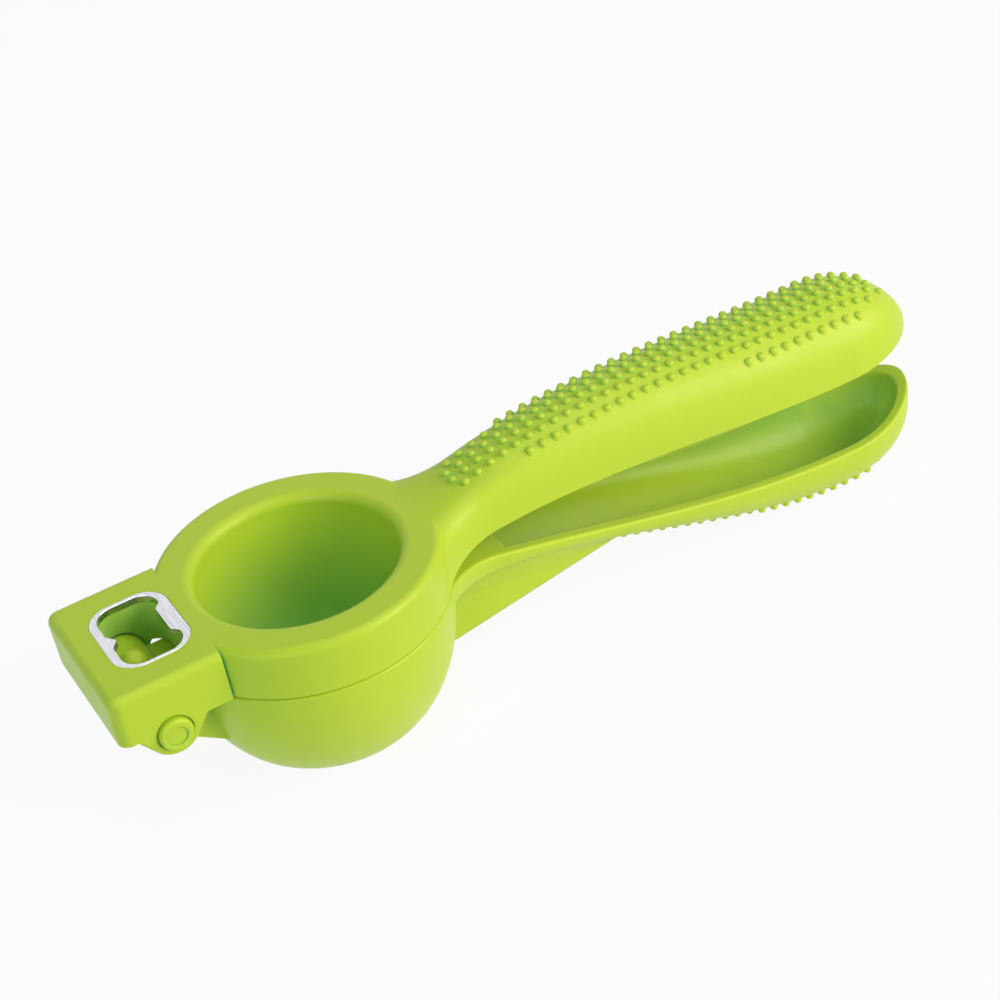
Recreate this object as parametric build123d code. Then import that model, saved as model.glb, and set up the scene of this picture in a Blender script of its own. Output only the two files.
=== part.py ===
from build123d import *
from math import hypot, radians, sin, sqrt, tan
import os

# Lemon squeezer with a bottle opener, in millimetres.
# Origin on the bowl's axis at the table, +X along the handles, +Z up, closed.

# bowl and press ring
RIM_RADIUS = 34.0          # outside of the bowl's rim and of the ring on it
BOWL_HEIGHT = 33.6         # table to the bowl's rim
BOWL_FLAT_RADIUS = 15.4
BOWL_WALL = 3.0
BOWL_FLOOR = 3.2
RIM_EDGE_RADIUS = 0.8
RIM_GAP = 0.5              # daylight between the closed ring and the bowl's rim
RING_HEIGHT = 13.0
RING_EDGE_RADIUS = 2.0
RING_WALL = 3.2
RING_ROOF = 3.4

# pressing cup
CUP_LIP_RADIUS = 24.0
CUP_LIP_EDGE = 2.4
CUP_WALL = 2.7
CUP_FLAT_RADIUS = 12.0
RIND_GAP = 5.0             # cup bottom to bowl floor

# drain holes in the bowl's floor, in two circles
DRAIN_RADIUS = 2.0
DRAIN_INNER_RING = 5.8
DRAIN_INNER_COUNT = 6
DRAIN_OUTER_RING = 11.4
DRAIN_OUTER_COUNT = 12

# hinge
HINGE_REACH = 42.6         # bowl axis to pin axis
PIN_DROP = 1.5             # pin axis below the ring's bottom
PIN_RADIUS = 3.0
PIN_SEAT_GAP = 0.02        # pin in the ears
PIN_RUNNING_GAP = 0.06     # pin in the knuckle
PIN_HEAD_RADIUS = 4.0
PIN_HEAD_PROUD = 1.5
PIN_HEAD_CHAMFER = 0.5
PIN_DISH_RADIUS = 2.5
PIN_DISH_DEPTH = 0.4
PIN_SPIGOT_RADIUS = 2.0
PIN_SPIGOT_LENGTH = 1.2
HEAD_SINK_DEPTH = 0.6      # round seat in the ear for the pin's head
HEAD_SINK_GAP = 0.5
BLOCK_HALF_WIDTH = 20.6
BLOCK_OVERHANG = 12.3      # end face beyond the pin axis
BLOCK_CORNER_RADIUS = 3.0
BLOCK_END_WALL = 3.0
BLOCK_EDGE_RADIUS = 2.0
EAR_RADIUS = 6.2
EAR_EDGE_RADIUS = 1.0
EAR_FLANK_ANGLE = 54.0
EAR_ROOT = 0.5             # ear runs this far up into the block
KNUCKLE_RADIUS = 6.0
KNUCKLE_HALF_WIDTH = 12.4
KNUCKLE_GAP = 0.7          # knuckle to the block around it
HINGE_SIDE_GAP = 0.4       # knuckle to each ear
TONGUE_HALF_WIDTH = 11.0
TONGUE_FOOT = 15.0         # where the tongue's underside runs into the bowl
STOP_BOSS_RADIUS = 3.4     # round boss on top of the knuckle

# steel opener plate
PLATE_LENGTH = 19.0
PLATE_WIDTH = 25.6
PLATE_CORNER_RADIUS = 6.5
PLATE_THICKNESS = 2.0
PLATE_FLANGE = 1.4         # hidden edge held by the moulding
PLATE_FLANGE_THICKNESS = 0.8
PLATE_BEYOND_PIN = 6.0     # plate edge past the pin axis
WINDOW_LENGTH = 14.6
WINDOW_WIDTH = 23.4
WINDOW_CORNER_RADIUS = 4.6
WINDOW_GAP = 0.3           # moulding set back from the plate's window
TOOTH_BASE = 5.0
TOOTH_HEIGHT = 1.8
TOOTH_TIP_RADIUS = 0.7
LIP_BASE = 12.6
LIP_TIP = 9.0
LIP_HEIGHT = 1.6
LIP_TIP_RADIUS = 0.6

# handles: widths and heights at the neck, the middle and the round end
NECK_FILLET = 22.0         # plan radius where a handle leaves the ring
NECK_SQUARENESS = 0.92     # 1 is a square section, 0.55 a round one
GRIP_SQUARENESS = 0.66
ROUNDING_LENGTH = 50.0     # from the ring to where the section is at its roundest
GRIP_END_X = 145.0         # where the round end begins
END_LENGTH = 24.5
END_SWEEP = 85.0           # angle of the round end up to its small tip face
SPANS = 4                  # steps of the smooth skin between two stations
END_SPANS = 8
GRIP_WALL = 2.8
GRIP_EDGE_RADIUS = 0.9     # rounding of the lower handle's open edge, outside
GRIP_INNER_RADIUS = 0.7    # and inside
NECK_HALF_WIDTH = 11.3
MIDDLE_HALF_WIDTH = 13.8
END_HALF_WIDTH = 15.6
UPPER_CROWN_NECK = 3.5     # crown above the ring's top
UPPER_CROWN_MIDDLE = 9.7
UPPER_CROWN_END = 7.6
UPPER_CROWN_FALL = 2.7     # further fall of the crown over the round end
UPPER_RIM_NECK = 9.1       # open edge below the ring's top
UPPER_RIM_MIDDLE = 8.3
UPPER_RIM_END = 10.6
UPPER_RIM_RISE = 2.5       # rise of the open edge over the round end
LOWER_RIM_NECK = 2.7       # open edge below the bowl's rim
LOWER_RIM_MIDDLE = 12.8
LOWER_RIM_END = 18.0
LOWER_RIM_RISE = 5.5
LOWER_BELLY_ROOT = 26.5    # underside above the table
LOWER_BELLY_NECK = 24.0
LOWER_BELLY_MIDDLE = 11.8
LOWER_BELLY_RISE = 1.0
KEEL_HALF_WIDTH = 8.6
KEEL_ROOT = 9.0            # keel's underside where it leaves the bowl
KEEL_END_X = 82.0
KEEL_EDGE_RADIUS = 2.6

# grip studs, moulded with the handles
STUD_RADIUS = 1.0
STUD_HEIGHT = 1.0
STUD_ROOT = 1.0
STUD_EDGE_RADIUS = 0.7
STUD_PITCH = 3.6
STUD_MARGIN = 4.0          # bare strip between the field of studs and the side
UPPER_STUDS_START = 41.0
LOWER_STUDS_START = 76.0

ring_bottom = BOWL_HEIGHT + RIM_GAP
ring_top = ring_bottom + RING_HEIGHT
pin_x = -HINGE_REACH
pin_z = ring_bottom - PIN_DROP
block_end_x = pin_x - BLOCK_OVERHANG
ear_inner_y = KNUCKLE_HALF_WIDTH + HINGE_SIDE_GAP
plate_x = pin_x - PLATE_BEYOND_PIN + PLATE_LENGTH / 2
neck_arc_y = NECK_HALF_WIDTH + NECK_FILLET
neck_x = sqrt((RIM_RADIUS + NECK_FILLET) ** 2 - neck_arc_y ** 2)
root_x = neck_x * RIM_RADIUS / (RIM_RADIUS + NECK_FILLET)


def along(x, root, neck, middle, end):
    """Smooth curve of one size along a handle, level at the round end."""
    total = end - neck
    half = middle - neck
    slope = 8 * half - 4 * total
    if x < neck_x:
        back = (neck_x - x) / (neck_x - root_x)
        lean = slope * (neck_x - root_x) / (GRIP_END_X - neck_x)
        return neck - lean * back + (root - neck + lean) * back ** 2
    t = (x - neck_x) / (GRIP_END_X - neck_x)
    return neck + t * (slope + t * (11 * total - 16 * half + t * (8 * half - 6 * total)))


def half_width(x):
    """Half width of a handle, with the hollow arc where it leaves the ring."""
    if x < neck_x:
        return neck_arc_y - sqrt(NECK_FILLET ** 2 - (neck_x - x) ** 2)
    return along(x, 0, NECK_HALF_WIDTH, MIDDLE_HALF_WIDTH, END_HALF_WIDTH)


def squareness(x):
    """Near square at the ring, rounder further out."""
    share = min(1, (x - root_x) / ROUNDING_LENGTH)
    return NECK_SQUARENESS + (GRIP_SQUARENESS - NECK_SQUARENESS) * share


def upper_edges(x):
    """Heights of the open edge and the crown of the upper handle, and their change over its end."""
    rim = along(x, RING_HEIGHT, UPPER_RIM_NECK, UPPER_RIM_MIDDLE, UPPER_RIM_END)
    crown = along(x, 0, UPPER_CROWN_NECK, UPPER_CROWN_MIDDLE, UPPER_CROWN_END)
    return ring_top - rim, ring_top + crown, UPPER_RIM_RISE, -UPPER_CROWN_FALL


def lower_edges(x):
    """Heights of the open edge and the underside of the lower handle, and their change over its end."""
    rim = along(x, 0, LOWER_RIM_NECK, LOWER_RIM_MIDDLE, LOWER_RIM_END)
    belly = along(x, LOWER_BELLY_ROOT, LOWER_BELLY_NECK, LOWER_BELLY_MIDDLE, STUD_HEIGHT)
    return BOWL_HEIGHT - rim, belly, LOWER_RIM_RISE, LOWER_BELLY_RISE


def arch_share(offset, square):
    """Height of a section's arch, as a share of its crown, at a share of its half width."""
    low, high = 0.0, 1.0
    for _ in range(40):
        t = (low + high) / 2
        reach = (1 - t) * ((1 - t) ** 2 + 3 * t * (1 - t) + 3 * square * t ** 2)
        low, high = (t, high) if reach > offset else (low, t)
    return t * (3 * square * (1 - t) ** 2 + 3 * t * (1 - t) + t ** 2)


def section_sizes(edges, x, inset=0):
    """Half width, open edge, crown and squareness of a handle's section."""
    reach = max(0, x - GRIP_END_X) / (END_LENGTH - inset)
    station = min(x, GRIP_END_X)
    rim, crown, rim_change, crown_change = edges(station)
    inward = inset if rim < crown else -inset
    rim -= inward
    square = squareness(x)
    top = arch_share(reach, square)
    crown = rim + (crown - inward - rim + crown_change * reach ** 2) * top
    half = (half_width(station) - inset) * sqrt(1 - reach ** 2)
    return half, rim + rim_change * reach ** 2, crown, square


def section(edges, x, inset):
    """Arched face of a handle at x, the corners rounded where its open side is on top."""
    half, rim, crown, square = section_sizes(edges, x, inset)
    rounding = GRIP_EDGE_RADIUS if crown < rim else 0
    base = rim - rounding
    wide = half - rounding
    shoulder = base + square * (crown - base)
    outline = []
    for side in (-1, 1):
        top = (x, side * half, base)
        arch = Bezier(top, (x, side * half, shoulder), (x, side * square * half, crown), (x, 0, crown))
        corner = [Bezier((x, side * wide, rim), (x, side * half, rim), top)] if rounding else []
        outline.append([*corner, arch])
    near, far = outline
    return Face(Wire([*near, *reversed(far), Line((x, wide, rim), (x, -wide, rim))]))


def handle_body(edges, inset=0):
    """Solid handle with its round end; an inset gives the smaller body of its hollow."""
    grip_start = neck_x + inset
    end_length = END_LENGTH - inset
    turns = [radians(END_SWEEP * step / END_SPANS) for step in range(END_SPANS + 1)]
    runs = [
        [grip_start + (GRIP_END_X - grip_start) * step / SPANS for step in range(SPANS + 1)],
        [GRIP_END_X + end_length * sin(turn) for turn in turns],
    ]
    if not inset:
        runs.insert(0, [root_x + (neck_x - root_x) * step / SPANS for step in range(SPANS + 1)])
    body = Part()
    for run in runs:
        body += loft([section(edges, x, inset) for x in run])
    return body


def hollow_handle(edges):
    """Handle shell, the body of its hollow, and the inner edges of its open side."""
    body = handle_body(edges)
    hollow = handle_body(edges, GRIP_WALL)
    shell = body - hollow
    return shell, hollow, new_edges(body, hollow, combined=shell)


def studs(edges, start_x, direction):
    """Staggered rows of round studs on each side of a handle's middle line."""
    third = 120
    outline = [CenterArc((0, 0), STUD_RADIUS, third * turn, third) for turn in range(3)]
    stud = extrude(make_face(outline), -STUD_ROOT - STUD_HEIGHT)
    stud = fillet(stud.edges().group_by(Axis.Z)[-1], STUD_EDGE_RADIUS)
    if direction < 0:
        stud = Rot(0, 180, 0) * stud
    row_pitch = STUD_PITCH * sqrt(3) / 2
    rows = int(END_HALF_WIDTH / row_pitch)
    columns = int((GRIP_END_X + END_LENGTH - start_x) / STUD_PITCH)
    field = []
    for row in range(rows):
        y = row_pitch * (row + 0.5)
        for column in range(columns):
            x = start_x + STUD_PITCH * (column + 0.5 * (row % 2))
            station = min(x, GRIP_END_X)
            along_end = (x - station) * END_HALF_WIDTH / END_LENGTH
            if hypot(along_end, y) < half_width(station) - STUD_MARGIN:
                half, rim, crown, square = section_sizes(edges, x)
                z = rim + (crown - rim) * arch_share(y / half, square) + direction * STUD_HEIGHT
                field += [Pos(x, -y, z) * stud, Pos(x, y, z) * stud]
    return field


def round_form(radius, flat_radius, depth, top):
    """Turned body with an elliptical side that runs into a flat bottom."""
    corner = (Align.MIN, Align.MAX)
    side = Pos(flat_radius, top) * Ellipse(radius - flat_radius, depth)
    side &= Pos(flat_radius, top) * Rectangle(radius - flat_radius, depth, align=corner)
    side += Pos(0, top) * Rectangle(flat_radius, depth, align=corner)
    return revolve(Plane.XZ * side, Axis.Z)


def cross_bar(radius, half_length):
    """Cylinder across the squeezer on the pin's axis."""
    return Pos(pin_x, 0, pin_z) * Rot(90, 0, 0) * Cylinder(radius, 2 * half_length)


def plate_outline(length, width, corner):
    return Pos(plate_x, 0) * RectangleRounded(length, width, corner)


def opener_plate():
    """Steel plate with its window, opener tooth and lip, and the hidden flange; also its seat."""
    top = Plane.XY.offset(ring_top)
    bottom = Plane.XY.offset(ring_top - PLATE_THICKNESS)
    window = plate_outline(WINDOW_LENGTH, WINDOW_WIDTH, WINDOW_CORNER_RADIUS)
    tooth_x = plate_x - WINDOW_LENGTH / 2
    lip_x = plate_x + WINDOW_LENGTH / 2
    margin = (PLATE_LENGTH - WINDOW_LENGTH) / 4
    tooth = make_face(Polyline(
        (tooth_x - margin, -TOOTH_BASE / 2),
        (tooth_x, -TOOTH_BASE / 2),
        (tooth_x + TOOTH_HEIGHT, 0),
        (tooth_x, TOOTH_BASE / 2),
        (tooth_x - margin, TOOTH_BASE / 2),
        close=True,
    ))
    tooth = fillet(tooth.vertices().group_by(Axis.X)[-1], TOOTH_TIP_RADIUS)
    lip = make_face(Polyline(
        (lip_x + margin, -LIP_BASE / 2),
        (lip_x, -LIP_BASE / 2),
        (lip_x - LIP_HEIGHT, -LIP_TIP / 2),
        (lip_x - LIP_HEIGHT, LIP_TIP / 2),
        (lip_x, LIP_BASE / 2),
        (lip_x + margin, LIP_BASE / 2),
        close=True,
    ))
    lip = fillet(lip.vertices().group_by(Axis.X)[0], LIP_TIP_RADIUS)
    opening = window - tooth - lip
    outline = plate_outline(PLATE_LENGTH, PLATE_WIDTH, PLATE_CORNER_RADIUS)
    flange = plate_outline(
        PLATE_LENGTH + 2 * PLATE_FLANGE,
        PLATE_WIDTH + 2 * PLATE_FLANGE,
        PLATE_CORNER_RADIUS + PLATE_FLANGE,
    )
    seat = extrude(top * outline, -PLATE_THICKNESS) + extrude(bottom * flange, PLATE_FLANGE_THICKNESS)
    return seat - extrude(top * opening, -PLATE_THICKNESS), seat


def hinge_block():
    """Box behind the ring with an ear on each side for the pin."""
    length = -RIM_RADIUS + RING_WALL + CUP_WALL - block_end_x
    box = Pos(block_end_x, 0, ring_bottom) * Box(
        length, 2 * BLOCK_HALF_WIDTH, RING_HEIGHT, align=(Align.MIN, Align.CENTER, Align.MIN)
    )
    box = fillet(box.edges().filter_by(Axis.Z).group_by(Axis.X)[0], BLOCK_CORNER_RADIUS)
    top_edges = box.faces().sort_by(Axis.Z)[-1].edges()
    inner_edge = top_edges.sort_by(Axis.X)[-1]
    box = fillet([edge for edge in top_edges if edge is not inner_edge], BLOCK_EDGE_RADIUS)

    flank = radians(EAR_FLANK_ANGLE)
    root = PIN_DROP + EAR_ROOT
    spread = EAR_RADIUS / sin(flank) + root / tan(flank)
    lug = make_hull([*Circle(EAR_RADIUS).edges(), Line((-spread, root), (spread, root))])
    ear = extrude(Plane.XZ * lug, BLOCK_HALF_WIDTH - ear_inner_y)
    outer_edges = ear.faces().sort_by(Axis.Y)[0].edges()
    ear = fillet(outer_edges.sort_by(Axis.Z)[:-1], EAR_EDGE_RADIUS)
    near_ear = Pos(pin_x, -ear_inner_y, pin_z) * ear
    return box + near_ear + mirror(near_ear, Plane.XZ)


def press_ring():
    """Ring with the pressing cup inside it, cored from below between the two."""
    depth = ring_top - BOWL_FLOOR - RIND_GAP
    ring = Pos(0, 0, ring_bottom) * Cylinder(
        RIM_RADIUS, RING_HEIGHT, align=(Align.CENTER, Align.CENTER, Align.MIN)
    )
    ring = fillet(ring.edges().group_by(Axis.Z)[-1], RING_EDGE_RADIUS)
    ring -= Pos(0, 0, ring_bottom) * Cylinder(
        RIM_RADIUS - RING_WALL, RING_HEIGHT - RING_ROOF, align=(Align.CENTER, Align.CENTER, Align.MIN)
    )
    ring += round_form(CUP_LIP_RADIUS + CUP_WALL, CUP_FLAT_RADIUS, depth, ring_top)
    ring -= round_form(CUP_LIP_RADIUS, CUP_FLAT_RADIUS, depth - CUP_WALL, ring_top)
    lip = ring.faces().sort_by(Axis.Z)[-1].edges().sort_by(SortBy.LENGTH)[0]
    return fillet(lip, CUP_LIP_EDGE)


def press_arm(plate_seat):
    """Upper moulding: handle, ring with cup, hinge block."""
    arm = press_ring() + hinge_block()
    opening = plate_outline(
        WINDOW_LENGTH + 2 * WINDOW_GAP, WINDOW_WIDTH + 2 * WINDOW_GAP, WINDOW_CORNER_RADIUS + WINDOW_GAP
    )
    arm -= extrude(Plane.XY.offset(ring_bottom) * opening, RING_HEIGHT)
    relief = KNUCKLE_RADIUS + KNUCKLE_GAP
    arm -= cross_bar(relief, ear_inner_y)
    arm -= Pos(pin_x, 0, pin_z) * Box(
        BLOCK_OVERHANG - BLOCK_END_WALL, 2 * ear_inner_y, relief, align=(Align.MAX, Align.CENTER, Align.MIN)
    )
    arm -= plate_seat
    arm -= cross_bar(PIN_RADIUS + PIN_SEAT_GAP, 2 * BLOCK_HALF_WIDTH)
    sink = cross_bar(PIN_HEAD_RADIUS + HEAD_SINK_GAP, HEAD_SINK_DEPTH)
    for side in (-1, 1):
        arm -= Pos(0, side * BLOCK_HALF_WIDTH, 0) * sink
    handle, _, _ = hollow_handle(upper_edges)
    return arm + handle.fuse(*studs(upper_edges, UPPER_STUDS_START, 1))


def hinge_tongue():
    """Tongue from the bowl's wall to the knuckle on the pin, with its round boss."""
    wall_x = 2 * BOWL_WALL - RIM_RADIUS
    knuckle = Pos(pin_x, pin_z) * Circle(KNUCKLE_RADIUS)
    side = make_hull([*knuckle.edges(), Line((wall_x, TONGUE_FOOT), (wall_x, BOWL_HEIGHT))])
    below_rim = Rectangle(-2 * block_end_x, BOWL_HEIGHT, align=(Align.CENTER, Align.MIN))
    tongue = extrude(Plane.XZ * (side & below_rim), TONGUE_HALF_WIDTH, both=True)
    tongue += cross_bar(KNUCKLE_RADIUS, KNUCKLE_HALF_WIDTH)
    tongue += Pos(pin_x, 0, pin_z + KNUCKLE_RADIUS) * Sphere(STOP_BOSS_RADIUS)
    return tongue - cross_bar(PIN_RADIUS + PIN_RUNNING_GAP, 2 * KNUCKLE_HALF_WIDTH)


def keel():
    """Web under the neck of the lower handle, from the bowl to the grip."""
    end_z = lower_edges(KEEL_END_X)[1] + GRIP_WALL / 2
    side = make_face(Polyline(
        (root_x, KEEL_ROOT),
        (KEEL_END_X, end_z),
        (root_x, LOWER_BELLY_NECK + GRIP_WALL),
        close=True,
    ))
    web = extrude(Plane.XZ * side, KEEL_HALF_WIDTH, both=True)
    under = web.faces().sort_by(Axis.Z)[0].edges().filter_by(Axis.Y, reverse=True)
    return fillet(under, KEEL_EDGE_RADIUS)


def bowl_arm():
    """Lower moulding: handle, bowl and the hinge tongue with its knuckle."""
    bowl = round_form(RIM_RADIUS, BOWL_FLAT_RADIUS, BOWL_HEIGHT, BOWL_HEIGHT)
    bowl = fillet(bowl.edges().group_by(Axis.Z)[-1], RIM_EDGE_RADIUS)
    handle, hollow, inner_edges = hollow_handle(lower_edges)
    handle = fillet(inner_edges, GRIP_INNER_RADIUS)
    handle = handle.fuse(*studs(lower_edges, LOWER_STUDS_START, -1))
    arm = bowl + hinge_tongue() + (handle + (keel() - hollow))

    inner_radius = RIM_RADIUS - BOWL_WALL
    arm -= round_form(inner_radius, BOWL_FLAT_RADIUS, BOWL_HEIGHT - BOWL_FLOOR, BOWL_HEIGHT)
    arm -= Pos(0, 0, BOWL_HEIGHT) * Cone(
        inner_radius - RIM_EDGE_RADIUS,
        inner_radius + RIM_EDGE_RADIUS,
        2 * RIM_EDGE_RADIUS,
        align=(Align.CENTER, Align.CENTER, Align.MAX),
    )
    drain = Cylinder(DRAIN_RADIUS, 2 * BOWL_HEIGHT)
    arm -= PolarLocations(DRAIN_INNER_RING, DRAIN_INNER_COUNT) * drain
    arm -= PolarLocations(DRAIN_OUTER_RING, DRAIN_OUTER_COUNT) * drain
    return arm


def pin_head(length):
    """Round head with a chamfered, dished face at y = 0, its back at +y."""
    head = Rot(-90, 0, 0) * Cylinder(PIN_HEAD_RADIUS, length, align=(Align.CENTER, Align.CENTER, Align.MIN))
    head = chamfer(head.edges().group_by(Axis.Y)[0], PIN_HEAD_CHAMFER)
    return head - Rot(90, 0, 0) * Cylinder(PIN_DISH_RADIUS, 2 * PIN_DISH_DEPTH)


def hinge_pin():
    """Pin with its near head and the spigot that takes the cap."""
    seat_y = BLOCK_HALF_WIDTH - HEAD_SINK_DEPTH
    head = Pos(0, -BLOCK_HALF_WIDTH - PIN_HEAD_PROUD, 0) * pin_head(PIN_HEAD_PROUD + HEAD_SINK_DEPTH)
    shaft = Rot(90, 0, 0) * Cylinder(PIN_RADIUS, 2 * seat_y)
    spigot = Pos(0, seat_y, 0) * Rot(-90, 0, 0) * Cylinder(
        PIN_SPIGOT_RADIUS, PIN_SPIGOT_LENGTH, align=(Align.CENTER, Align.CENTER, Align.MIN)
    )
    return Pos(pin_x, 0, pin_z) * (head + shaft + spigot)


def pin_cap():
    """Cap pressed on the spigot at the far ear."""
    cap = Pos(0, -BLOCK_HALF_WIDTH - PIN_HEAD_PROUD, 0) * pin_head(PIN_HEAD_PROUD + HEAD_SINK_DEPTH)
    seat_y = BLOCK_HALF_WIDTH - HEAD_SINK_DEPTH
    bore = Rot(90, 0, 0) * Cylinder(PIN_SPIGOT_RADIUS + PIN_SEAT_GAP, 2 * (seat_y + PIN_SPIGOT_LENGTH))
    return Pos(pin_x, 0, pin_z) * mirror(cap - bore, Plane.XZ)


plate, plate_seat = opener_plate()
nodes = {
    "bowl_arm": bowl_arm(),
    "press_arm": press_arm(plate_seat),
    "opener_plate": plate,
    "hinge_pin": hinge_pin(),
    "pin_cap": pin_cap(),
}
os.makedirs("parts", exist_ok=True)
for name, solid in nodes.items():
    export_step(solid, f"parts/{name}.step")
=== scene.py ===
import logging
from dataclasses import dataclass, field
from enum import Enum
from math import radians

import bpy
from mathutils import Matrix, Vector


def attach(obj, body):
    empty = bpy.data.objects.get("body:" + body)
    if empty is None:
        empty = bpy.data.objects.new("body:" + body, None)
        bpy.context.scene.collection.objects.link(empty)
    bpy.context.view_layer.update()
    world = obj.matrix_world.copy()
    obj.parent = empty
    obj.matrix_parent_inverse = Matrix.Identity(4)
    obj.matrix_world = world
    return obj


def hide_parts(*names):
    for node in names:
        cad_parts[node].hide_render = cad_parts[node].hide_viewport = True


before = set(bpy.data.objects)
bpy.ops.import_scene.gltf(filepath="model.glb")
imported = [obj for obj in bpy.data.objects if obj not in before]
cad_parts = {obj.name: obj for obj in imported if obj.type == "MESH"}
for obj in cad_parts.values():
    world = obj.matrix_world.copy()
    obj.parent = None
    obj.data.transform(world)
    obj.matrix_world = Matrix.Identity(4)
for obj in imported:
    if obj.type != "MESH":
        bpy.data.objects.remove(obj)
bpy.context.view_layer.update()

LOG = logging.getLogger("lemon_squeezer")
MM = 0.001
WHITE = (1.0, 1.0, 1.0, 1.0)

Triple = tuple[float, float, float]
Colour = tuple | bpy.types.NodeSocket


class Body(Enum):
    """The two rigid arms of the squeezer."""

    LOWER = "lower_arm"
    UPPER = "upper_arm"


class Slot(Enum):
    """The record's material slots."""

    PLASTIC = "green_plastic"
    STEEL = "steel"


def linear(red: int, green: int, blue: int) -> tuple[float, float, float, float]:
    """Turns a colour as it shows on screen into the shader's linear one.

    Args:
        red: Red from 0 to 255.
        green: Green from 0 to 255.
        blue: Blue from 0 to 255.

    Returns:
        Linear red, green, blue and an alpha of 1.
    """
    shown = [channel / 255 for channel in (red, green, blue)]
    flat = [c / 12.92 if c <= 0.04045 else ((c + 0.055) / 1.055) ** 2.4 for c in shown]
    return (flat[0], flat[1], flat[2], 1.0)


def deselect() -> None:
    """Leaves object mode with nothing selected."""
    if bpy.context.object and bpy.context.object.mode != "OBJECT":
        bpy.ops.object.mode_set(mode="OBJECT")
    bpy.ops.object.select_all(action="DESELECT")


def pick(piece: bpy.types.Object) -> None:
    """Makes one piece the only selected and active one.

    Args:
        piece: The piece to pick.
    """
    deselect()
    piece.select_set(True)
    bpy.context.view_layer.objects.active = piece


@dataclass
class ShaderGraph:
    """The node tree of a material or world, with short calls to add and join nodes."""

    owner: bpy.types.Material | bpy.types.World
    pattern_low: float = 0.3
    pattern_high: float = 0.7

    def __post_init__(self) -> None:
        """Starts with no nodes."""
        self.owner.use_nodes = True
        self.owner.node_tree.nodes.clear()

    def add(self, kind: str, **sockets: object) -> bpy.types.Node:
        """Adds a node.

        Args:
            kind: Blender's name of the node type.
            sockets: Input values, with spaces in the socket's name written as underscores.

        Returns:
            The new node.
        """
        node = self.owner.node_tree.nodes.new(kind)
        for name, value in sockets.items():
            node.inputs[name.replace("_", " ")].default_value = value
        return node

    def join(self, source: bpy.types.NodeSocket, target: bpy.types.NodeSocket) -> None:
        """Links an output to an input."""
        self.owner.node_tree.links.new(source, target)

    def noise(self, scale: float, stretch: Triple = (1, 1, 1), detail: float = 2.0) -> bpy.types.NodeSocket:
        """Adds a noise pattern on the piece's own coordinates.

        Args:
            scale: Pattern repeats per metre.
            stretch: Extra scale along X, Y and Z.
            detail: Octaves of finer noise.

        Returns:
            The pattern's value, about 0.5 on average.
        """
        coordinates = self.add("ShaderNodeTexCoord")
        mapping = self.add("ShaderNodeMapping", Scale=stretch)
        self.join(coordinates.outputs["Object"], mapping.inputs["Vector"])
        pattern = self.add("ShaderNodeTexNoise", Scale=scale, Detail=detail)
        self.join(mapping.outputs["Vector"], pattern.inputs["Vector"])
        return pattern.outputs["Fac"]

    def between(self, value: bpy.types.NodeSocket, low: float, high: float) -> bpy.types.NodeSocket:
        """Spreads a pattern over a range.

        Args:
            value: The pattern, mostly between the graph's pattern_low and pattern_high.
            low: Result where the pattern is low.
            high: Result where it is high.

        Returns:
            The spread value.
        """
        spread = self.add(
            "ShaderNodeMapRange",
            From_Min=self.pattern_low,
            From_Max=self.pattern_high,
            To_Min=low,
            To_Max=high,
        )
        self.join(value, spread.inputs["Value"])
        return spread.outputs["Result"]

    def tint(self, value: bpy.types.NodeSocket, first: Colour, second: Colour) -> bpy.types.NodeSocket:
        """Blends two colours by a pattern.

        Args:
            value: The pattern, mostly between the graph's pattern_low and pattern_high.
            first: Colour where the pattern is low, given or from another node.
            second: Colour where it is high.

        Returns:
            The blended colour.
        """
        blend = self.add("ShaderNodeMix")
        blend.data_type = "RGBA"
        colours = [socket for socket in blend.inputs if socket.type == "RGBA"]
        for socket, colour in zip(colours, (first, second)):
            if isinstance(colour, bpy.types.NodeSocket):
                self.join(colour, socket)
            else:
                socket.default_value = colour
        self.join(self.between(value, 0, 1), blend.inputs["Factor"])
        return next(socket for socket in blend.outputs if socket.type == "RGBA")

    def white_rays(self) -> bpy.types.NodeSocket:
        """Adds a switch that is 1 for rays from the camera, mirrors and glass.

        Returns:
            The switch's value.
        """
        rays = self.add("ShaderNodeLightPath")
        total = rays.outputs["Is Camera Ray"]
        for kind in ("Is Glossy Ray", "Is Transmission Ray"):
            either = self.add("ShaderNodeMath")
            either.operation = "MAXIMUM"
            self.join(total, either.inputs[0])
            self.join(rays.outputs[kind], either.inputs[1])
            total = either.outputs["Value"]
        return total

    def mix(
        self, share: bpy.types.NodeSocket, first: bpy.types.NodeSocket, second: bpy.types.NodeSocket
    ) -> bpy.types.NodeSocket:
        """Blends two shaders.

        Args:
            share: How much of the second shader shows.
            first: Shader where the share is 0.
            second: Shader where it is 1.

        Returns:
            The blended shader.
        """
        blend = self.add("ShaderNodeMixShader")
        self.join(share, blend.inputs["Fac"])
        self.join(first, blend.inputs[1])
        self.join(second, blend.inputs[2])
        return blend.outputs["Shader"]

    def finish(self, shader: bpy.types.NodeSocket, kind: str = "ShaderNodeOutputMaterial") -> bpy.types.ID:
        """Joins the last shader to the output.

        Args:
            shader: Output of the last shader.
            kind: Blender's name of the output node.

        Returns:
            The finished material or world.
        """
        output = self.add(kind)
        self.join(shader, output.inputs["Surface"])
        return self.owner


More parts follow.
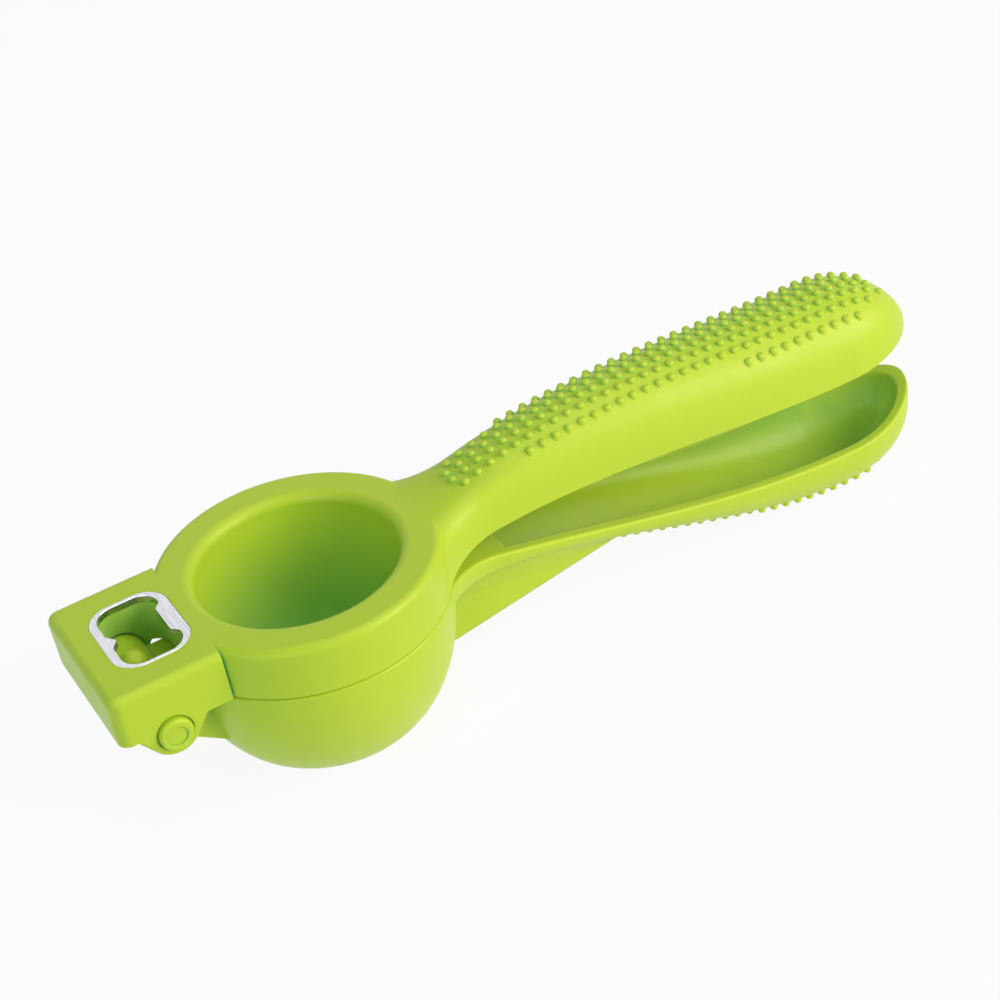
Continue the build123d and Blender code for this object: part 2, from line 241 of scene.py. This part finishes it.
@dataclass(frozen=True)
class MouldedPlastic:
    """Satin lime plastic with a faint moulding flow, fine tool grain and painted shade: a deeper, bluer
    green painted into hollows and creases where shade falls.
    """

    name: str = "lime_plastic_with_painted_shade"
    light_green: tuple = linear(198, 222, 58)
    full_green: tuple = linear(188, 216, 50)
    # Painted shade: the green, reach and samples below colour hollows, creases and the cup deeper where
    # shade falls.
    painted_shade_green: tuple = linear(126, 204, 128)
    painted_shade_reach: float = 36.0 * MM
    painted_shade_samples: int = 6
    flow_scale: float = 16.0
    flow_stretch: Triple = (0.4, 1.0, 1.0)
    mottle_scale: float = 120.0
    mottle_detail: float = 4.0
    grain_scale: float = 1500.0
    grain_detail: float = 3.0
    grain_depth: float = 0.04 * MM
    grain_strength: float = 0.25
    smooth: float = 0.36
    rough: float = 0.46
    refraction: float = 1.49
    shine: float = 0.40
    glow_weight: float = 0.18
    glow_radius: Triple = (1.0, 1.0, 0.25)
    glow_depth: float = 2.2 * MM

    def make(self) -> bpy.types.Material:
        """Builds the node material.

        Returns:
            The plastic.
        """
        graph = ShaderGraph(bpy.data.materials.new(self.name))
        shader = graph.add(
            "ShaderNodeBsdfPrincipled",
            IOR=self.refraction,
            Specular_IOR_Level=self.shine,
            Subsurface_Weight=self.glow_weight,
            Subsurface_Radius=self.glow_radius,
            Subsurface_Scale=self.glow_depth,
        )
        flow = graph.noise(self.flow_scale, stretch=self.flow_stretch)
        skin = graph.tint(flow, self.full_green, self.light_green)
        # Painted shade: ambient occlusion on the piece itself blends the base colour towards the deeper
        # green in hollows and creases, standing in for shade.
        painted_shade_occlusion = graph.add("ShaderNodeAmbientOcclusion", Distance=self.painted_shade_reach)
        painted_shade_occlusion.samples = self.painted_shade_samples
        painted_shade_occlusion.only_local = True
        graph.join(graph.tint(painted_shade_occlusion.outputs["AO"], self.painted_shade_green, skin), shader.inputs["Base Color"])
        mottle = graph.noise(self.mottle_scale, detail=self.mottle_detail)
        graph.join(graph.between(mottle, self.smooth, self.rough), shader.inputs["Roughness"])
        bump = graph.add("ShaderNodeBump", Strength=self.grain_strength, Distance=self.grain_depth)
        graph.join(graph.noise(self.grain_scale, detail=self.grain_detail), bump.inputs["Height"])
        graph.join(bump.outputs["Normal"], shader.inputs["Normal"])
        return graph.finish(shader.outputs["BSDF"])


@dataclass(frozen=True)
class PolishedSteel:
    """Stamped stainless sheet with faint polishing lines."""

    name: str = "polished_stainless"
    bright: tuple = linear(232, 232, 238)
    dull: tuple = linear(206, 206, 214)
    line_scale: float = 260.0
    line_stretch: Triple = (14.0, 0.6, 6.0)
    line_detail: float = 3.0
    line_depth: float = 0.02 * MM
    line_strength: float = 0.2
    smooth: float = 0.16
    rough: float = 0.30

    def make(self) -> bpy.types.Material:
        """Builds the node material.

        Returns:
            The steel.
        """
        graph = ShaderGraph(bpy.data.materials.new(self.name))
        shader = graph.add("ShaderNodeBsdfPrincipled", Metallic=1.0)
        lines = graph.noise(self.line_scale, stretch=self.line_stretch, detail=self.line_detail)
        graph.join(graph.tint(lines, self.dull, self.bright), shader.inputs["Base Color"])
        graph.join(graph.between(lines, self.smooth, self.rough), shader.inputs["Roughness"])
        bump = graph.add("ShaderNodeBump", Strength=self.line_strength, Distance=self.line_depth)
        graph.join(lines, bump.inputs["Height"])
        graph.join(bump.outputs["Normal"], shader.inputs["Normal"])
        return graph.finish(shader.outputs["BSDF"])


@dataclass(frozen=True)
class PaperFloor:
    """White paper sweep that keeps a soft shadow and shows white to the camera."""

    name: str = "white_paper"
    paper: tuple = linear(244, 244, 243)
    fibre: tuple = linear(240, 240, 240)
    fibre_scale: float = 40.0
    white_share: float = 0.92

    def make(self) -> bpy.types.Material:
        """Builds the node material.

        Returns:
            The paper.
        """
        graph = ShaderGraph(bpy.data.materials.new(self.name))
        paper = graph.add("ShaderNodeBsdfDiffuse")
        graph.join(graph.tint(graph.noise(self.fibre_scale), self.fibre, self.paper), paper.inputs["Color"])
        white = graph.add("ShaderNodeEmission", Color=WHITE, Strength=1.0)
        share = graph.add("ShaderNodeMath")
        share.operation = "MULTIPLY"
        share.inputs[1].default_value = self.white_share
        graph.join(graph.white_rays(), share.inputs[0])
        seen = graph.mix(share.outputs["Value"], paper.outputs["BSDF"], white.outputs["Emission"])
        return graph.finish(seen)


@dataclass
class Mouldings:
    """The two moulded arms and the pin, kept as the frame has them and dressed."""

    nodes: tuple[str, ...] = ("bowl_arm", "press_arm", "hinge_pin", "pin_cap")

    def dress(self, finish: bpy.types.Material) -> None:
        """Gives every moulded node its finish.

        Args:
            finish: The plastic.
        """
        for name in self.nodes:
            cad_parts[name].material_slots[0].material = finish
            LOG.info("dressed %s", name)


@dataclass
class OpenerPlate:
    """The stamped opener plate, its edges broken."""

    node: str = "opener_plate"
    name: str = "stamped_plate"
    weld: float = 0.002 * MM
    flat_angle: float = radians(1)
    edge_angle: float = radians(40)
    edge_break: float = 0.28 * MM
    edge_steps: int = 3

    def build(self, finish: bpy.types.Material) -> bpy.types.Object:
        """Copies the node, merges its faces and rounds its edges.

        Args:
            finish: The steel.

        Returns:
            The plate.
        """
        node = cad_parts[self.node]
        plate = node.copy()
        plate.data = node.data.copy()
        plate.parent = None
        plate.name = plate.data.name = self.name
        for key in [key for key in plate.keys() if key.startswith("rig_")]:
            del plate[key]
        bpy.context.scene.collection.objects.link(plate)
        pick(plate)
        bpy.ops.mesh.customdata_custom_splitnormals_clear()
        bpy.ops.object.mode_set(mode="EDIT")
        bpy.ops.mesh.select_all(action="SELECT")
        bpy.ops.mesh.remove_doubles(threshold=self.weld)
        bpy.ops.mesh.dissolve_limited(angle_limit=self.flat_angle)
        bpy.ops.mesh.select_all(action="DESELECT")
        bpy.ops.mesh.select_mode(type="EDGE")
        bpy.ops.mesh.edges_select_sharp(sharpness=self.edge_angle)
        bpy.ops.mesh.bevel(offset=self.edge_break, segments=self.edge_steps, clamp_overlap=True)
        bpy.ops.object.mode_set(mode="OBJECT")
        bpy.ops.object.shade_smooth_by_angle(angle=self.edge_angle)
        plate.material_slots[0].material = finish
        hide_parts(self.node)
        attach(plate, Body.UPPER.value)
        LOG.info("built %s", plate.name)
        return plate


@dataclass
class NeckWeb:
    """Hollow blend on each side of the keel, from the lower handle's side to the keel's side."""

    node: str = "bowl_arm"
    start: float = 30.0 * MM
    end: float = 80.0 * MM
    stations: int = 34
    curve_steps: int = 10
    below_rim: float = 4.0 * MM
    drop: float = 6.5 * MM
    above_foot: float = 1.3 * MM
    search_top: float = 36.0 * MM
    search_step: float = 0.1 * MM
    search_count: int = 220
    foot_y: float = 6.0 * MM
    root_depth: float = 1.2 * MM
    skin_depth: float = 0.06 * MM
    hollow: float = 0.2
    hollow_height: float = 0.62
    reach: float = 100.0 * MM
    weld: float = 0.001 * MM
    smooth_angle: float = radians(40)

    def build(self, finish: bpy.types.Material) -> list[bpy.types.Object]:
        """Models the web on both sides.

        Args:
            finish: The plastic.

        Returns:
            The two webs.
        """
        return [self.web(side, name, finish) for side, name in ((-1, "neck_web_near"), (1, "neck_web_far"))]

    def hit(self, place: Triple, aim: Triple) -> Vector:
        """Finds where a ray meets the lower moulding.

        Args:
            place: Start of the ray.
            aim: Its direction.

        Returns:
            The point on the moulding.
        """
        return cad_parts[self.node].ray_cast(Vector(place), Vector(aim))[1]

    def rim_height(self, x: float, side: int) -> float:
        """Steps down beside the handle until a level ray meets its open edge.

        Args:
            x: Station along the handle.
            side: -1 for the near side, 1 for the far side.

        Returns:
            Height of the edge.
        """
        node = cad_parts[self.node]
        height = self.search_top
        for _ in range(self.search_count):
            found, _, _, _ = node.ray_cast(Vector((x, side * self.reach, height)), Vector((0, -side, 0)))
            if found:
                break
            height -= self.search_step
        return height

    def profile(self, x: float, side: int) -> list[Vector]:
        """Outlines the web at one station.

        Args:
            x: Station along the handle.
            side: -1 for the near side, 1 for the far side.

        Returns:
            The closed outline, its first point given again at the end.
        """
        inward = (0, -side, 0)
        rim = self.rim_height(x, side)
        foot = self.hit((x, side * self.foot_y, -self.reach), (0, 0, 1)).z
        high = rim - self.below_rim
        low = max(high - self.drop, foot + self.above_foot)
        top = abs(self.hit((x, side * self.reach, high), inward).y) - self.skin_depth
        bottom = abs(self.hit((x, side * self.reach, low), inward).y) - self.skin_depth
        bend = (bottom + self.hollow * (top - bottom), low + self.hollow_height * (high - low))
        outline = []
        for step in range(self.curve_steps + 1):
            t = step / self.curve_steps
            shares = ((1 - t) ** 2, 2 * t * (1 - t), t ** 2)
            wide = sum(share * value for share, value in zip(shares, (top, bend[0], bottom)))
            tall = sum(share * value for share, value in zip(shares, (high, bend[1], low)))
            outline.append(Vector((x, side * wide, tall)))
        outline.append(Vector((x, side * (bottom - self.root_depth), low)))
        outline.append(Vector((x, side * (top - self.root_depth), high)))
        return outline + outline[:1]

    def web(self, side: int, name: str, finish: bpy.types.Material) -> bpy.types.Object:
        """Skins the outlines of one side into a closed web.

        Args:
            side: -1 for the near side, 1 for the far side.
            name: Name of the piece.
            finish: The plastic.

        Returns:
            The web.
        """
        span = self.end - self.start
        shares = [step / self.stations for step in range(self.stations + 1)]
        rows = [self.profile(self.start + span * share, side) for share in shares]
        deselect()
        bpy.ops.mesh.primitive_grid_add(x_subdivisions=len(rows[0]) - 1, y_subdivisions=self.stations)
        web = bpy.context.object
        web.name = web.data.name = name
        for vertex, point in zip(web.data.vertices, [point for row in rows for point in row]):
            vertex.co = point
        bpy.ops.object.mode_set(mode="EDIT")
        bpy.ops.mesh.select_all(action="SELECT")
        bpy.ops.mesh.remove_doubles(threshold=self.weld)
        bpy.ops.mesh.select_all(action="SELECT")
        bpy.ops.mesh.fill_holes(sides=0)
        bpy.ops.mesh.select_all(action="SELECT")
        bpy.ops.mesh.normals_make_consistent(inside=False)
        bpy.ops.object.mode_set(mode="OBJECT")
        bpy.ops.object.shade_smooth_by_angle(angle=self.smooth_angle)
        web.data.materials.append(finish)
        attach(web, Body.LOWER.value)
        LOG.info("built %s", web.name)
        return web


@dataclass(frozen=True)
class PinMark:
    """Place and radius of one ejector pin's mark, seen from above."""

    x: float
    y: float
    radius: float


@dataclass
class EjectorMarks:
    """Fine raised rings left by ejector pins in the trough of the lower handle."""

    node: str = "bowl_arm"
    marks: tuple[PinMark, ...] = (
        PinMark(150.0 * MM, 3.6 * MM, 2.1 * MM),
        PinMark(160.5 * MM, 5.5 * MM, 1.2 * MM),
    )
    tube: float = 0.16 * MM
    sink: float = 0.06 * MM
    ring_steps: int = 48
    tube_steps: int = 10
    drop_from: float = 30.0 * MM

    def build(self, finish: bpy.types.Material) -> list[bpy.types.Object]:
        """Lays a ring on the trough at each mark.

        Args:
            finish: The plastic.

        Returns:
            The rings.
        """
        return [self.ring(number, mark, finish) for number, mark in enumerate(self.marks, 1)]

    def ring(self, number: int, mark: PinMark, finish: bpy.types.Material) -> bpy.types.Object:
        """Models one ring and lets it follow the trough's floor.

        Args:
            number: Number for the piece's name.
            mark: Where the ring lies.
            finish: The plastic.

        Returns:
            The ring.
        """
        deselect()
        bpy.ops.mesh.primitive_torus_add(
            major_segments=self.ring_steps,
            minor_segments=self.tube_steps,
            major_radius=mark.radius,
            minor_radius=self.tube,
        )
        ring = bpy.context.object
        ring.name = ring.data.name = f"ejector_mark_{number}"
        for vertex in ring.data.vertices:
            spot = vertex.co + Vector((mark.x, mark.y, 0))
            above = Vector((spot.x, spot.y, self.drop_from))
            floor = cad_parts[self.node].ray_cast(above, Vector((0, 0, -1)))[1]
            vertex.co = (spot.x, spot.y, floor.z + spot.z - self.sink)
        bpy.ops.object.shade_smooth()
        ring.data.materials.append(finish)
        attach(ring, Body.LOWER.value)
        LOG.info("built %s", ring.name)
        return ring


@dataclass
class SoftBox:
    """One square studio lamp."""

    name: str
    place: Triple
    size: float
    power: float
    colour: Triple = (1.0, 1.0, 1.0)
    target: Triple = (0.04, 0.0, 0.03)

    def hang(self) -> bpy.types.Object:
        """Hangs the lamp, turned to its target.

        Returns:
            The lamp.
        """
        deselect()
        aim = Vector(self.target) - Vector(self.place)
        turn = aim.to_track_quat("-Z", "Y").to_euler()
        bpy.ops.object.light_add(type="AREA", location=self.place, rotation=turn)
        lamp = bpy.context.object
        lamp.name = self.name
        lamp.data.size = self.size
        lamp.data.energy = self.power
        lamp.data.color = self.colour
        return lamp


@dataclass
class Studio:
    """Floor, light and the camera at the photograph's angle."""

    floor_size: float = 8.0
    sky_strength: float = 0.24
    sky_colour: tuple = (0.74, 1.0, 1.0, 1.0)
    lamps: list[SoftBox] = field(default_factory=lambda: [
        SoftBox("key_softbox", (0.85, -0.85, 0.62), 0.85, 13.2, (1.0, 0.86, 0.70)),
        SoftBox("left_softbox", (-0.95, -0.75, 0.50), 0.6, 3.6, (0.90, 1.0, 0.95)),
        SoftBox("top_softbox", (0.25, -0.10, 1.10), 0.6, 2.0),
    ])
    camera_place: Triple = (-0.11966, -0.40410, 0.34982)
    camera_right: Triple = (0.858706, -0.487675, -0.157470)
    camera_up: Triple = (0.400917, 0.447892, 0.799161)
    lens: float = 81.63
    sensor: float = 36.0

    def build(self) -> None:
        """Sets up floor, light, camera and the plain view transform."""
        self.lay_floor()
        self.light_sky()
        for lamp in self.lamps:
            lamp.hang()
            LOG.info("hung %s", lamp.name)
        self.set_camera()
        bpy.context.scene.view_settings.view_transform = "Standard"

    def lay_floor(self) -> None:
        """Lays the paper floor under the squeezer."""
        deselect()
        bpy.ops.mesh.primitive_plane_add(size=self.floor_size, location=(0, 0, 0))
        floor = bpy.context.object
        floor.name = "paper_floor"
        floor.data.materials.append(PaperFloor().make())

    def light_sky(self) -> None:
        """Gives an even pale surround that shows white to the camera."""
        graph = ShaderGraph(bpy.data.worlds.new("pale_surround"))
        sky = graph.add("ShaderNodeBackground", Color=self.sky_colour, Strength=self.sky_strength)
        white = graph.add("ShaderNodeBackground", Color=WHITE, Strength=1.0)
        surround = graph.mix(graph.white_rays(), sky.outputs["Background"], white.outputs["Background"])
        bpy.context.scene.world = graph.finish(surround, "ShaderNodeOutputWorld")

    def set_camera(self) -> None:
        """Puts the camera where the photograph was taken from."""
        deselect()
        bpy.ops.object.camera_add()
        camera = bpy.context.object
        right = Vector(self.camera_right)
        up = Vector(self.camera_up)
        back = right.cross(up)
        turn = Matrix((right, up, back)).transposed().to_4x4()
        camera.matrix_world = Matrix.Translation(self.camera_place) @ turn
        camera.data.lens = self.lens
        camera.data.sensor_width = self.sensor
        camera.data.sensor_fit = "HORIZONTAL"
        camera.data.dof.use_dof = False
        bpy.context.scene.camera = camera


def main() -> None:
    """Builds and dresses the squeezer, then the studio around it."""
    logging.basicConfig(level=logging.INFO, format="%(name)s: %(message)s")
    plastic = MouldedPlastic().make()
    steel = PolishedSteel().make()
    Mouldings().dress(plastic)
    OpenerPlate().build(steel)
    NeckWeb().build(plastic)
    EjectorMarks().build(plastic)
    Studio().build()


if __name__ == "__main__":
    main()
